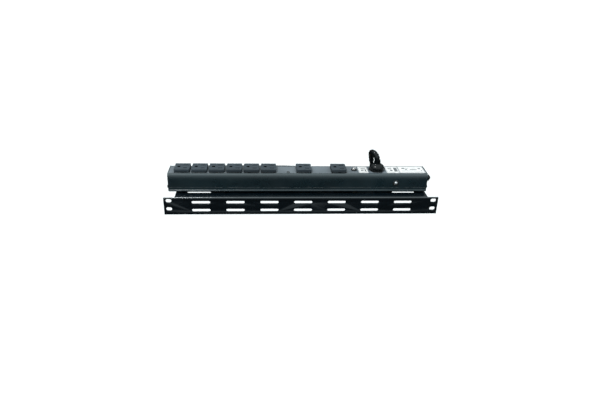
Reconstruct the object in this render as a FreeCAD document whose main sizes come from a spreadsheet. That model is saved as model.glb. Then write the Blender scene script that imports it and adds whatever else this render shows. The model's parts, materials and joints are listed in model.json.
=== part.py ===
"""A rack power strip on its slotted 19-inch mounting bracket, in millimetres.

The origin is the centre of the four rack holes, on the face that meets the rack rails.
+X runs to the right along the strip, +Y goes back into the rack and +Z is up.
"""
import FreeCAD, Part
import math
import os
import re

from FreeCAD import Placement, Rotation, Vector

DIMENSIONS = {
    # bracket: a slotted bar whose top edge bends back into a shelf
    "bar_length": 482.6, "bar_height": 33.2, "shelf_top": 14.4, "steel": 1.5, "bend_radius": 2.5,
    "shelf_width": 444, "shelf_back": 125,
    "slot_length": 32, "slot_height": 5.1, "slot_pitch": 59.2, "slots_upper": 4.75, "slots_lower": -10.65,
    "rack_pitch_x": 465.1, "rack_pitch_z": 15.875, "rack_hole_radius": 3.3, "rack_slot_length": 10,
    "tie_slot_length": 42, "tie_slot_width": 6.5, "tie_slot_reach": 182, "tie_slot_y": 20.2,
    # strip housing
    "strip_length": 457.2, "strip_left": -234.5, "strip_front": 16.5, "strip_depth": 40.5,
    "strip_height": 32.55, "strip_bottom": 17.6, "wall": 1.5, "cap": 1.5, "edge_round": 5.5,
    "base_sheet": 1.2, "lip_height": 3.4, "lip_out": 2, "cover_sheet": 1.5, "cover_ledge": 0.9,
    "cap_screw_reach": 16.25, "cap_screw_z": 25.4, "boss_radius": 2.6, "foot_reach": 150,
    "foot_size": 28, "foot_hole": 2.2, "crease_z": 24.3, "cover_screw_x": -26.3, "cover_screw_y": 24.8,
    # outlets
    "outlet_count": 8, "close_outlets": 6, "first_outlet": -210.5, "outlet_pitch": 30, "wide_pitch": 62,
    "outlet_width": 26.5, "outlet_depth": 26.8, "outlet_raise": 6.1, "outlet_round": 1.6,
    "blade_spread": 6.35, "blade_shift": 5.7, "ground_shift": 6.2, "line_slot": 7.2,
    "neutral_slot": 8.6, "blade_slot": 2.2, "ground_hole": 5.4, "flange": 1.6, "module_bottom": 30,
    "contact_leaf": 0.6, "contact_gap": 1.7, "bus_width": 4.5, "bus_sheet": 1, "bus_end": 82,
    # things on the right-hand part of the strip
    "lamp_x": 92.2, "lamp_radius": 5.2, "label_sheet": 0.3,
    "gland_x": 133.2, "gland_radius": 15.1, "gland_thread": 7.6, "gland_height": 12,
    "nozzle_length": 8,
    "screw_x": 165.6, "screw_z": 33.6, "breaker_z": 35, "bushing_radius": 5.5, "bushing_tip": 231.2,
    "button_radius": 3.2, "button_tip": 233.6,
    # mains lead
    "cord_diameter": 7, "wire_diameter": 2.6, "hank_run": 140, "hank_x": -99, "hank_y": 91.85,
    "fold_radius": 29.15, "hank_height": 13.1, "plug_x": 62, "plug_y": 74, "plug_length": 36,
    "plug_width": 25, "plug_height": 22,
}

document = FreeCAD.newDocument("rack_power_strip")
sheet = document.addObject("Spreadsheet::Sheet", "sheet")
for row, (word, value) in enumerate(DIMENSIONS.items(), start=1):
    sheet.set("A%d" % row, word)
    sheet.set("B%d" % row, str(value))
    sheet.setAlias("B%d" % row, word)
document.recompute()

nodes = []

STRIP_RIGHT = "(strip_left + strip_length)"
STRIP_BACK = "(strip_front + strip_depth)"
STRIP_TOP = "(strip_bottom + strip_height)"
STRIP_Y = "(strip_front + strip_depth / 2)"
COVER_FRONT = "(strip_front + edge_round)"
COVER_BACK = "(strip_front + strip_depth - edge_round)"
COVER_UNDER = "(strip_bottom + strip_height - cover_sheet)"
HOUSING_FLOOR = "(strip_bottom + base_sheet + wall)"
OUTLET_Y = "(strip_front + 19.9)"


# ---- helpers -------------------------------------------------------------------------------

def expression(text):
    """Turn a formula in dimension names into one that reads the sheet's cells."""
    def cell(match):
        word = match.group()
        return "sheet." + word if word in DIMENSIONS else word
    return re.sub(r"[a-z]\w+", cell, str(text))


def size(text):
    """The value of a formula in dimension names."""
    return float(sheet.evalExpression(expression(text)))


def bind(item, **formulas):
    for name, formula in formulas.items():
        item.setExpression(name.replace("__", "."), expression(formula))


def place(item, corner, axis=None):
    """Put an object's origin at a corner, with its own Z turned towards an axis."""
    if axis:
        item.Placement = Placement(Vector(), Rotation(Vector(0, 0, 1), Vector(*axis)))
    x, y, z = corner
    bind(item, Placement__Base__x=x, Placement__Base__y=y, Placement__Base__z=z)
    return item


def box(name, lengths, corner):
    item = document.addObject("Part::Box", name)
    bind(item, Length=lengths[0], Width=lengths[1], Height=lengths[2])
    return place(item, corner)


def cylinder(name, radius, height, foot, axis=None):
    item = document.addObject("Part::Cylinder", name)
    bind(item, Radius=radius, Height=height)
    return place(item, foot, axis)


def cone(name, low_radius, high_radius, height, foot, axis=None):
    item = document.addObject("Part::Cone", name)
    bind(item, Radius1=low_radius, Radius2=high_radius, Height=height)
    return place(item, foot, axis)


def prism(name, radius, height, foot, axis=None, sides=6):
    item = document.addObject("Part::Prism", name)
    item.Polygon = sides
    bind(item, Circumradius=radius, Height=height)
    return place(item, foot, axis)


def fuse(name, pieces):
    item = document.addObject("Part::MultiFuse", name)
    item.Shapes = pieces
    item.Refine = True
    return item


def group(name, pieces):
    """Separate solids of identical fasteners in one node."""
    item = document.addObject("Part::Compound", name)
    item.Links = pieces
    return item


def cut(name, base, tools):
    item = document.addObject("Part::Cut", name)
    item.Base = base
    item.Tool = tools[0] if len(tools) == 1 else fuse(name + "_tools", tools)
    item.Refine = True
    return item


def rounded(name, base, radius, chosen):
    """Fillet the straight edges of an object that the test picks by middle and direction."""
    document.recompute()
    item = document.addObject("Part::Fillet", name)
    item.Base = base
    picked = []
    for number, edge in enumerate(base.Shape.Edges, start=1):
        first, last = edge.Vertexes[0].Point, edge.Vertexes[-1].Point
        if chosen((first + last) / 2, last - first):
            picked.append((number, size(radius), size(radius)))
    item.Edges = picked
    return item


def oblong(name, length, width, depth, centre, along="x"):
    """A round-ended slot tool, its depth centred on the given point, going through Y or Z."""
    x, y, z = centre
    run = "(%s - %s)" % (length, width)
    radius = "(%s / 2)" % width
    if along == "x":
        start = "(%s - %s / 2)" % (y, depth)
        middle = box(name + "_run", [run, depth, width],
                     ["%s - %s / 2" % (x, run), start, "%s - %s" % (z, radius)])
        ends = [cylinder(name + "_end%d" % side, radius, depth,
                         ["%s + %d * %s / 2" % (x, side, run), start, z], (0, 1, 0))
                for side in (-1, 1)]
    else:
        start = "(%s - %s / 2)" % (z, depth)
        middle = box(name + "_run", [run, width, depth],
                     ["%s - %s / 2" % (x, run), "%s - %s" % (y, radius), start])
        ends = [cylinder(name + "_end%d" % side, radius, depth,
                         ["%s + %d * %s / 2" % (x, side, run), y, start])
                for side in (-1, 1)]
    return fuse(name, [middle] + ends)


def node(item, name):
    item.Label = name
    nodes.append(item)
    return item


def shape_node(name, shape):
    item = document.addObject("Part::Feature", name)
    item.Shape = shape
    return node(item, name)


def tube(name, points, diameter):
    """A round cord along straight runs joined by tangent arcs; prints each arc's radius."""
    points = [Vector(*point) for point in points]
    edges, start, radii = [], points[0], []
    for before, corner, after in zip(points, points[1:], points[2:]):
        back, ahead = (before - corner), (after - corner)
        shorter = min(back.Length, ahead.Length)
        reach = 0.45 * shorter
        turn = math.pi - back.getAngle(ahead)
        radii.append(round(reach / math.tan(turn / 2), 1))
        back.normalize()
        ahead.normalize()
        first, last = corner + back * reach, corner + ahead * reach
        inward = (back + ahead).normalize()
        sag = radii[-1] * (1 / math.cos(turn / 2) - 1)
        edges.append(Part.LineSegment(start, first).toShape())
        edges.append(Part.Arc(first, corner + inward * sag, last).toShape())
        start = last
    edges.append(Part.LineSegment(start, points[-1]).toShape())
    path = Part.Wire(edges)
    ring = Part.Circle(points[0], points[1] - points[0], diameter / 2).toShape()
    solid = path.makePipeShell([Part.Wire([ring])], True, False)
    section = math.pi * diameter ** 2 / 4
    print("%s: length %.1f, volume ratio %.4f, radii %s"
          % (name, path.Length, solid.Volume / (section * path.Length), radii))
    return solid


# ---- bracket -------------------------------------------------------------------------------

def outlet_centres():
    """X of each outlet: a close row on the left, then two at a wide pitch."""
    close = int(size("close_outlets"))
    row = ["(first_outlet + %d * outlet_pitch)" % number for number in range(close)]
    wide = ["(%s + %d * wide_pitch)" % (row[-1], number)
            for number in range(1, int(size("outlet_count")) - close + 1)]
    return row + wide


def bent_corner(name, blank):
    """Round the corner where the bar bends back into the shelf, outside and inside."""
    def along(y, z):
        def test(middle, direction):
            return abs(direction.x) > 300 and abs(middle.y - y) + abs(middle.z - z) < 0.01
        return test
    outside = rounded(name + "_outside", blank, "bend_radius", along(-size("steel"), size("shelf_top")))
    return rounded(name, outside, "bend_radius - steel", along(0, size("shelf_top - steel")))


def rack_bracket():
    bar = box("bar", ["bar_length", "steel", "bar_height"],
              ["-bar_length / 2", "-steel", "shelf_top - bar_height"])
    shelf = box("shelf", ["shelf_width", "shelf_back + steel", "steel"],
                ["-shelf_width / 2", "-steel", "shelf_top - steel"])
    hem = box("rear_hem", ["shelf_width", "steel", 8],
              ["-shelf_width / 2", "shelf_back - steel", "shelf_top - 8"])
    sheet_metal = fuse("bracket_blank", [bar, shelf, hem])
    blank = bent_corner("bracket_bent", sheet_metal)
    tools = []
    for number in range(-3, 4):
        for row in ("slots_upper", "slots_lower"):
            tools.append(oblong("lacing_%s_%d" % (row, number + 3), "slot_length", "slot_height",
                                "4 * steel", ["(%d * slot_pitch)" % number, "(-steel / 2)", row]))
    for side in (-1, 1):
        tools.append(oblong("tie_slot%d" % side, "tie_slot_length", "tie_slot_width", "4 * steel",
                            ["(%d * tie_slot_reach)" % side, "tie_slot_y", "shelf_top"], "y"))
        tools.append(cylinder("shelf_hole%d" % side, "foot_hole", "4 * steel",
                              ["%d * foot_reach" % side, STRIP_Y, "shelf_top - 3 * steel"]))
        for level in (-1, 1):
            tools.append(oblong("rack_hole%d%d" % (side, level), "rack_slot_length",
                                "2 * rack_hole_radius", "4 * steel",
                                ["(%d * rack_pitch_x / 2)" % side, "(-steel / 2)",
                                 "(%d * rack_pitch_z / 2)" % level]))
    node(cut("rack_bracket", blank, tools), "rack_bracket")


def mounting_feet():
    """Spacers between shelf and strip, with the screws and nuts that hold the strip down."""
    pads, screws, nuts = [], [], []
    for side, word in ((-1, "left"), (1, "right")):
        centre = "%d * foot_reach" % side
        pad = box("pad_" + word, ["foot_size", "foot_size", "strip_bottom - shelf_top"],
                  [centre + " - foot_size / 2", STRIP_Y + " - foot_size / 2", "shelf_top"])
        hole = cylinder("pad_hole_" + word, "foot_hole", 10, [centre, STRIP_Y, "shelf_top - 1"])
        pads.append(cut("foot_" + word, pad, [hole]))
        head = cylinder("foot_head_" + word, 3.6, 1.6, [centre, STRIP_Y, HOUSING_FLOOR])
        shank = cylinder("foot_shank_" + word, 1.9, 14, [centre, STRIP_Y, HOUSING_FLOOR + " - 14"])
        screws.append(fuse("foot_screw_" + word, [head, shank]))
        hexagon = prism("foot_hexagon_" + word, 4, 2.8, [centre, STRIP_Y, "shelf_top - steel - 2.8"])
        bore = cylinder("foot_bore_" + word, 1.9, 6, [centre, STRIP_Y, "shelf_top - steel - 4"])
        nuts.append(cut("foot_nut_" + word, hexagon, [bore]))
    node(group("mounting_feet", pads), "mounting_feet")
    node(group("foot_screws", screws), "foot_screws")
    node(group("foot_nuts", nuts), "foot_nuts")


# ---- strip housing -------------------------------------------------------------------------

def housing_channel():
    """Extruded trough with round shoulders and a recess on top for the outlet cover."""
    length = "(strip_length - 2 * cap)"
    left = "(strip_left + cap)"
    floor_z = "(strip_bottom + base_sheet)"

    def top_edge(level):
        def test(middle, direction):
            return abs(direction.x) > 100 and abs(middle.z - level) < 0.01
        return test
    outer = box("channel_outer", [length, "strip_depth", "strip_height - base_sheet"],
                [left, "strip_front", floor_z])
    outer = rounded("channel_shoulders", outer, "edge_round", top_edge(size(STRIP_TOP)))
    roof = "(cover_sheet * 2)"
    inner = box("channel_inner",
                [length + " + 2", "strip_depth - 2 * wall", "strip_height - base_sheet - wall - %s" % roof],
                [left + " - 1", "strip_front + wall", HOUSING_FLOOR])
    inner = rounded("channel_inner_round", inner, "edge_round - wall",
                    top_edge(size(STRIP_TOP + " - " + roof)))
    recess = box("channel_recess", [length + " + 2", COVER_BACK + " - " + COVER_FRONT, "cover_sheet + 1"],
                 [left + " - 1", COVER_FRONT, COVER_UNDER])
    mouth = box("channel_mouth",
                [length + " + 2", "%s - %s - 2 * cover_ledge" % (COVER_BACK, COVER_FRONT), 10],
                [left + " - 1", COVER_FRONT + " + cover_ledge", COVER_UNDER + " - 5"])
    shell = cut("channel_shell", outer, [inner, recess, mouth])
    bosses, holes = [], []
    for side in (-1, 1):
        foot = [left, "%s + %d * cap_screw_reach" % (STRIP_Y, side), "cap_screw_z"]
        bosses.append(cylinder("screw_boss%d" % side, "boss_radius", length, foot, (1, 0, 0)))
        holes.append(cylinder("screw_bore%d" % side, 1.5, length, foot, (1, 0, 0)))
        holes.append(cylinder("floor_hole%d" % side, "foot_hole", 6,
                              ["%d * foot_reach" % side, STRIP_Y, floor_z + " - 2"]))
    holes.append(cylinder("ground_bore", 2.6, 6, ["screw_x", "strip_front - 2", "screw_z"], (0, 1, 0)))
    for side, face in ((-1, "strip_front"), (1, STRIP_BACK)):
        holes.append(box("crease%d" % side, [length, 0.8, 0.8], [left, face + " - 0.4", "crease_z"]))
    node(cut("housing_channel", fuse("channel_bossed", [shell] + bosses), holes), "housing_channel")


def outlet_cover():
    """Flat top plate with a window for each outlet and holes for the lamp and the gland."""
    gap = 0.15
    plate = box("cover_plate",
                ["strip_length - 2 * cap", "%s - %s - %s" % (COVER_BACK, COVER_FRONT, 2 * gap),
                 "cover_sheet"],
                ["strip_left + cap", COVER_FRONT + " + %s" % gap, COVER_UNDER])
    tools = []
    for number, centre in enumerate(outlet_centres(), start=1):
        tools.append(box("window_%d" % number, ["outlet_width + 0.3", "outlet_depth + 0.3", 6],
                         [centre + " - (outlet_width + 0.3) / 2", OUTLET_Y + " - (outlet_depth + 0.3) / 2",
                          COVER_UNDER + " - 2"]))
    tools.append(cylinder("lamp_hole", "lamp_radius - 1.1", 6, ["lamp_x", STRIP_Y, COVER_UNDER + " - 2"]))
    tools.append(cylinder("gland_hole", "gland_thread + 0.15", 6,
                          ["gland_x", STRIP_Y, COVER_UNDER + " - 2"]))
    tools.append(cylinder("cover_screw_hole", 1.3, 6,
                          ["cover_screw_x", "cover_screw_y", COVER_UNDER + " - 2"]))
    node(cut("outlet_cover", plate, tools), "outlet_cover")


def cover_screw():
    """Pan-head screw near the front edge of the cover."""
    seat = ["cover_screw_x", "cover_screw_y", STRIP_TOP]
    stem = cylinder("cover_screw_stem", 1.3, 7, seat[:2] + [STRIP_TOP + " - 7"])
    head = cone("cover_screw_head", 2.7, 1.7, 1.6, seat)
    node(fuse("cover_screw", [stem, head]), "cover_screw")


def base_plate():
    """Bottom tray whose lips clasp the housing from outside."""
    outside = box("base_outside", ["strip_length - 2 * cap", "strip_depth + 2 * lip_out", "lip_height"],
                  ["strip_left + cap", "strip_front - lip_out", "strip_bottom"])

    def lip_edge(_, direction):
        return abs(direction.x) > 100
    outside = rounded("base_outside_round", outside, 1.4, lip_edge)
    inside = box("base_inside", ["strip_length", "strip_depth", "lip_height"],
                 ["strip_left", "strip_front", "strip_bottom + base_sheet"])
    tools = [inside]
    for side in (-1, 1):
        tools.append(cylinder("base_hole%d" % side, "foot_hole", 6,
                              ["%d * foot_reach" % side, STRIP_Y, "strip_bottom - 2"]))
    node(cut("base_plate", outside, tools), "base_plate")


def end_cap(word, outside_x, inside_x):
    """End plate with round shoulders, drilled for two screws and, on the right, the breaker."""
    low = min(size(outside_x), size(inside_x))
    plate = box("cap_plate_" + word, ["cap", "strip_depth", "strip_height"],
                [low, "strip_front", "strip_bottom"])

    def shoulder(middle, direction):
        return abs(direction.x) > 1 and abs(middle.z - size(STRIP_TOP)) < 0.01
    plate = rounded("cap_round_" + word, plate, "edge_round", shoulder)
    tools = []
    for side in (-1, 1):
        tools.append(cylinder("cap_hole_%s%d" % (word, side), 1.6, "cap + 2",
                              [low - 1, "%s + %d * cap_screw_reach" % (STRIP_Y, side), "cap_screw_z"],
                              (1, 0, 0)))
    if word == "right":
        tools.append(cylinder("breaker_hole", "bushing_radius + 0.1", "cap + 2",
                              [low - 1, STRIP_Y, "breaker_z"], (1, 0, 0)))
    node(cut("end_cap_" + word, plate, tools), "end_cap_" + word)


def cap_screws():
    screws = []
    for word, face, outward in (("left", "strip_left", -1), ("right", STRIP_RIGHT, 1)):
        for side in (-1, 1):
            seat = [face, "%s + %d * cap_screw_reach" % (STRIP_Y, side), "cap_screw_z"]
            name = "cap_screw_%s%d" % (word, side)
            head = cone(name + "_head", 2.9, 2.2, 1.8, seat, (outward, 0, 0))
            shank = cylinder(name + "_shank", 1.4, 8, seat, (-outward, 0, 0))
            recess = box(name + "_slot", [0.8, 0.8, 3.6],
                         ["%s + %s" % (face, 1.3 if outward > 0 else -2.1),
                          seat[1] + " - 0.4", "cap_screw_z - 1.8"])
            screws.append(cut(name, fuse(name + "_solid", [head, shank]), [recess]))
    node(group("end_cap_screws", screws), "end_cap_screws")


# ---- outlets -------------------------------------------------------------------------------

def receptacle(number, centre):
    """One outlet: a raised slotted face held under the cover, and the contact housing below."""
    name = "receptacle_face_%d" % number
    flange_under = "(%s - flange)" % COVER_UNDER
    raised = box(name + "_block",
                 ["outlet_width", "outlet_depth", "flange + cover_sheet + outlet_raise"],
                 [centre + " - outlet_width / 2", OUTLET_Y + " - outlet_depth / 2", flange_under])
    top = size(STRIP_TOP + " + outlet_raise")

    def upright(middle, direction):
        return abs(direction.z) > 1

    def rim(middle, direction):
        return abs(middle.z - top) < 0.01
    raised = rounded(name + "_corners", raised, "outlet_round", upright)
    raised = rounded(name + "_rim", raised, 0.6, rim)
    flange = box(name + "_flange", ["outlet_width + 2", "outlet_depth", "flange"],
                 [centre + " - outlet_width / 2 - 1", OUTLET_Y + " - outlet_depth / 2", flange_under])
    tools = []
    for side, length in ((-1, "line_slot"), (1, "neutral_slot")):
        tools.append(box("%s_slot%d" % (name, side), [length, "blade_slot", 20],
                         ["%s + blade_shift - %s / 2" % (centre, length),
                          "%s + %d * blade_spread - blade_slot / 2" % (OUTLET_Y, side),
                          flange_under + " - 2"]))
    hole_x = "%s - ground_shift" % centre
    tools.append(cylinder(name + "_ground", "ground_hole / 2", 20, [hole_x, OUTLET_Y, flange_under + " - 2"]))
    tools.append(box(name + "_ground_flat", ["ground_hole / 2", "ground_hole", 20],
                     [hole_x, OUTLET_Y + " - ground_hole / 2", flange_under + " - 2"]))
    node(cut(name, fuse(name + "_solid", [raised, flange]), tools), name)

    name = "receptacle_body_%d" % number
    height = "(%s - module_bottom)" % flange_under
    block = box(name + "_block", ["outlet_width - 2", "outlet_depth - 2", height],
                [centre + " - outlet_width / 2 + 1", OUTLET_Y + " - outlet_depth / 2 + 1", "module_bottom"])
    cavity = "(contact_gap + 2 * contact_leaf + 1)"
    tools = [box("%s_cavity%d" % (name, side), ["neutral_slot + 1", cavity, height + " + 2"],
                 ["%s + blade_shift - neutral_slot / 2 - 0.5" % centre,
                  "%s + %d * blade_spread - %s / 2" % (OUTLET_Y, side, cavity), "module_bottom - 1"])
             for side in (-1, 1)]
    tools.append(cylinder(name + "_ground_bore", "ground_hole / 2 + 1.1", height + " + 2",
                          [hole_x, OUTLET_Y, "module_bottom - 1"]))
    node(cut(name, block, tools), name)


def busbar(name, offset, contact_shift, leaf_length):
    """A flat bar under the outlets with a pair of spring leaves up into each of them."""
    start = "(first_outlet - 12)"
    bar_y = "(%s + %s)" % (OUTLET_Y, offset)
    pieces = [box(name + "_bar", ["bus_end - %s" % start, "bus_width", "bus_sheet"],
                  [start, bar_y + " - bus_width / 2", "module_bottom - 2.1"])]
    for number, centre in enumerate(outlet_centres(), start=1):
        for side in (-1, 1):
            face = "%s + %s" % (bar_y, "contact_gap / 2" if side > 0 else "(-contact_gap / 2 - contact_leaf)")
            pieces.append(box("%s_leaf_%d_%d" % (name, number, side + 1),
                              [leaf_length, "contact_leaf", 13],
                              ["%s + %s - %s / 2" % (centre, contact_shift, leaf_length), face,
                               "module_bottom - 1.6"]))
    node(fuse(name, pieces), name)


def bus_tray():
    """Insulating tray that keeps the three bars apart and off the housing floor."""
    start = "(first_outlet - 13)"
    length = "(bus_end + 2 - %s)" % start
    width = "(outlet_depth - 3)"
    block = box("tray_block", [length, width, "module_bottom - " + HOUSING_FLOOR],
                [start, OUTLET_Y + " - %s / 2" % width, HOUSING_FLOOR])
    tools = [box("tray_under", [length + " + 2", width + " - 3", 4],
                 [start + " - 1", OUTLET_Y + " - %s / 2 + 1.5" % width, HOUSING_FLOOR])]
    for side in (-1, 0, 1):
        tools.append(box("tray_lane%d" % side, [length + " + 2", "bus_width + 0.4", 4],
                         [start + " - 1",
                          "%s + %d * blade_spread - bus_width / 2 - 0.2" % (OUTLET_Y, side),
                          "module_bottom - 2.1"]))
    hole = cylinder("tray_screw_room", 4.5, 20, ["-foot_reach", STRIP_Y, HOUSING_FLOOR + " - 15"])
    node(cut("bus_tray", block, tools + [hole]), "bus_tray")


# ---- lamp, gland, ground screw, breaker ----------------------------------------------------

def pilot_lamp():
    centre = ["lamp_x", STRIP_Y]
    bezel = cone("bezel_ring", "lamp_radius", "lamp_radius - 0.7", 1.6, centre + [STRIP_TOP])
    collar = cylinder("bezel_collar", "lamp_radius - 1.2", 9, centre + [STRIP_TOP + " - 9"])
    bore = cylinder("bezel_bore", "lamp_radius - 2.1", 20, centre + [STRIP_TOP + " - 10"])
    node(cut("lamp_bezel", fuse("bezel_solid", [bezel, collar]), [bore]), "lamp_bezel")
    stem = cylinder("lens_stem", "lamp_radius - 2.2", 9, centre + [STRIP_TOP + " - 7"])
    dome = document.addObject("Part::Sphere", "lens_dome")
    bind(dome, Radius="lamp_radius - 2.2")
    place(dome, centre + [STRIP_TOP + " + 2"])
    hollow = cylinder("lens_hollow", 2.2, 7, centre + [STRIP_TOP + " - 8"])
    node(cut("lamp_lens", fuse("lens_solid", [stem, dome]), [hollow]), "lamp_lens")
    bulb = cylinder("bulb_glass", 1.9, 7, centre + [STRIP_TOP + " - 9"])
    tip = cone("bulb_tip", 1.9, 0.8, 1, centre + [STRIP_TOP + " - 2"])
    node(fuse("lamp_bulb", [bulb, tip]), "lamp_bulb")
    ring = cylinder("lamp_nut_ring", "lamp_radius + 1.2", 1.8, centre + [COVER_UNDER + " - 1.8"])
    hole = cylinder("lamp_nut_hole", "lamp_radius - 1.2", 4, centre + [COVER_UNDER + " - 3"])
    node(cut("lamp_nut", ring, [hole]), "lamp_nut")


def cord_gland():
    """Flanged bushing through the cover, its nozzled dome nut, rubber seal and the locknut below."""
    centre = ["gland_x", STRIP_Y]
    flange_high = 3.4
    flange = prism("gland_flange", "gland_radius", flange_high, centre + [STRIP_TOP])
    barrel = cylinder("gland_barrel", "gland_thread", 20, centre + [STRIP_TOP + " - 11"])
    bore = cylinder("gland_bore", "cord_diameter / 2 + 2", 30, centre + [STRIP_TOP + " - 12"])
    node(cut("gland_body", fuse("gland_solid", [flange, barrel]), [bore]), "gland_body")
    skirt = prism("dome_skirt", "gland_radius - 1.8", 3.6, centre + [STRIP_TOP + " + 3.5"], sides=12)
    dome = cone("dome_cone", "gland_radius - 3", "cord_diameter / 2 + 2.6", "gland_height - 7.1",
                centre + [STRIP_TOP + " + 7.1"])
    nozzle = cone("dome_nozzle", "cord_diameter / 2 + 2.6", "cord_diameter / 2 + 1.3", "nozzle_length",
                  centre + [STRIP_TOP + " + gland_height"])
    thread = cylinder("dome_thread", "gland_thread", 6.5, centre + [STRIP_TOP + " + 2.5"])
    mouth = cylinder("dome_mouth", "cord_diameter / 2 + 0.2", 30, centre + [STRIP_TOP])
    node(cut("gland_dome_nut", fuse("dome_solid", [skirt, dome, nozzle]), [thread, mouth]), "gland_dome_nut")
    ring = cylinder("seal_ring", "cord_diameter / 2 + 2", 12, centre + [STRIP_TOP + " - 3.1"])
    hole = cylinder("seal_hole", "cord_diameter / 2", 16, centre + [STRIP_TOP + " - 5"])
    node(cut("gland_seal", ring, [hole]), "gland_seal")
    hexagon = prism("locknut_hexagon", "gland_thread + 3.6", 3.5, centre + [COVER_UNDER + " - 3.5"])
    opening = cylinder("locknut_hole", "gland_thread", 8, centre + [COVER_UNDER + " - 5"])
    node(cut("gland_locknut", hexagon, [opening]), "gland_locknut")


def ground_screw():
    """Earthing screw on the front face, with washer, ring terminal and nut inside."""
    outside = ["screw_x", "strip_front", "screw_z"]
    inside = ["screw_x", "strip_front + wall", "screw_z"]
    disc = cylinder("washer_disc", 5.4, 0.9, outside, (0, -1, 0))
    hole = cylinder("washer_hole", 2.4, 3, ["screw_x", "strip_front + 1", "screw_z"], (0, -1, 0))
    node(cut("ground_washer", disc, [hole]), "ground_washer")
    seat = ["screw_x", "strip_front - 0.9", "screw_z"]
    head = prism("ground_head", 4.4, 3.2, seat, (0, -1, 0))
    shank = cylinder("ground_shank", 2.4, 12, seat, (0, 1, 0))
    slot = box("ground_slot", [7, 1.2, 1], ["screw_x - 3.5", "strip_front - 4.2", "screw_z - 0.5"])
    node(cut("ground_screw", fuse("ground_screw_solid", [head, shank]), [slot]), "ground_screw")
    eye = cylinder("eye_disc", 4.2, 0.8, inside, (0, 1, 0))
    tongue = box("eye_tongue", [9, 0.8, 4], ["screw_x - 11", "strip_front + wall", "screw_z - 2"])
    eye_hole = cylinder("eye_hole", 2.4, 3, ["screw_x", "strip_front + wall - 1", "screw_z"], (0, 1, 0))
    node(cut("ground_terminal", fuse("eye_solid", [eye, tongue]), [eye_hole]), "ground_terminal")
    nut_seat = ["screw_x", "strip_front + wall + 0.8", "screw_z"]
    hexagon = prism("ground_hexagon", 4.6, 3.2, nut_seat, (0, 1, 0))
    nut_hole = cylinder("ground_nut_hole", 2.4, 6, inside, (0, 1, 0))
    node(cut("ground_nut", hexagon, [nut_hole]), "ground_nut")


def breaker():
    """Thermal breaker behind the right end cap, with a button that springs out when it trips."""
    axis_line = [STRIP_Y, "breaker_z"]
    cap_inside = "(%s - cap)" % STRIP_RIGHT
    body_left = "(%s - 30)" % cap_inside
    body = box("breaker_block", [30, 19, 21], [body_left, STRIP_Y + " - 9.5", "breaker_z - 10.5"])
    bushing = cylinder("breaker_bushing", "bushing_radius", "bushing_tip - %s" % cap_inside,
                       [cap_inside] + axis_line, (1, 0, 0))
    chamber = cylinder("breaker_chamber", 4.7, 12, [cap_inside + " - 13"] + axis_line, (1, 0, 0))
    bore = cylinder("breaker_bore", "button_radius + 0.09", 30, [cap_inside + " - 12.5"] + axis_line,
                    (1, 0, 0))
    node(cut("breaker_body", fuse("breaker_solid", [body, bushing]), [chamber, bore]), "breaker_body")
    hexagon = prism("breaker_hexagon", 7.6, 2.6, [STRIP_RIGHT] + axis_line, (1, 0, 0))
    hole = cylinder("breaker_nut_hole", "bushing_radius", 5, [STRIP_RIGHT + " - 1"] + axis_line, (1, 0, 0))
    node(cut("breaker_nut", hexagon, [hole]), "breaker_nut")
    tabs = [box("breaker_tab%d" % side, [8, 0.8, 6.3],
                [body_left + " - 8", "%s + %d * 5.5 - 0.4" % (STRIP_Y, side), "breaker_z - 3.15"])
            for side in (-1, 1)]
    node(group("breaker_terminals", tabs), "breaker_terminals")
    collar = cylinder("button_collar", 4.2, 2, [cap_inside + " - 12"] + axis_line, (1, 0, 0))
    stem_length = "(button_tip - 0.8 - %s + 12)" % cap_inside
    stem = cylinder("button_stem", "button_radius", stem_length, [cap_inside + " - 12"] + axis_line,
                    (1, 0, 0))
    tip = cone("button_tip_cone", "button_radius", "button_radius - 0.6", 0.8,
               ["button_tip - 0.8"] + axis_line, (1, 0, 0))
    node(fuse("reset_button", [collar, stem, tip]), "reset_button")


def labels():
    """Three blank adhesive labels on the right-hand part of the cover."""
    for number, (left, right) in enumerate(((99.8, 116.6), (150, 172.6), (173.8, 219.6)), start=1):
        name = "label_%d" % number
        node(box(name, [right - left, 27, "label_sheet"], [left, STRIP_Y + " - 13.5", STRIP_TOP]), name)


# ---- mains lead and inner wires ------------------------------------------------------------

LEAD_ROUTE = [
    (133.2, 36.75, 48), (133.2, 36.75, 73.5), (130.2, 43, 80.5), (127.6, 55, 80.5),
    (128, 63.6, 72.5), (129.5, 65, 57), (130.5, 66, 43), (126, 74, 27.5), (118, 88, 18.1),
    (102, 102, 17.9), (76, 109, 17.9), (46, 110.4, 17.9), (14, 115, 17.9), (-16, 120.4, 17.9),
]
TAIL_ROUTE = [
    (-14, 66.2, 25), (1, 66.9, 20.9), (15, 69.6, 18.3), (29, 73, 20.6), (44, 74, 25.4), (58, 74, 25.4),
]


def mains_lead():
    """Lead from the gland to a tied hank behind the strip, and on to its plug."""
    diameter = size("cord_diameter")
    shape_node("cord_lead", tube("cord_lead", LEAD_ROUTE, diameter))
    shape_node("cord_tail", tube("cord_tail", TAIL_ROUTE, diameter))
    width = "(2 * fold_radius + cord_diameter)"
    middle = box("hank_middle", ["hank_run", width, "hank_height"],
                 ["hank_x - hank_run / 2", "hank_y - %s / 2" % width, "shelf_top"])
    folds = [cylinder("hank_fold%d" % side, width + " / 2", "hank_height",
                      ["hank_x + %d * hank_run / 2" % side, "hank_y", "shelf_top"]) for side in (-1, 1)]
    node(fuse("cord_hank", [middle] + folds), "cord_hank")


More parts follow.
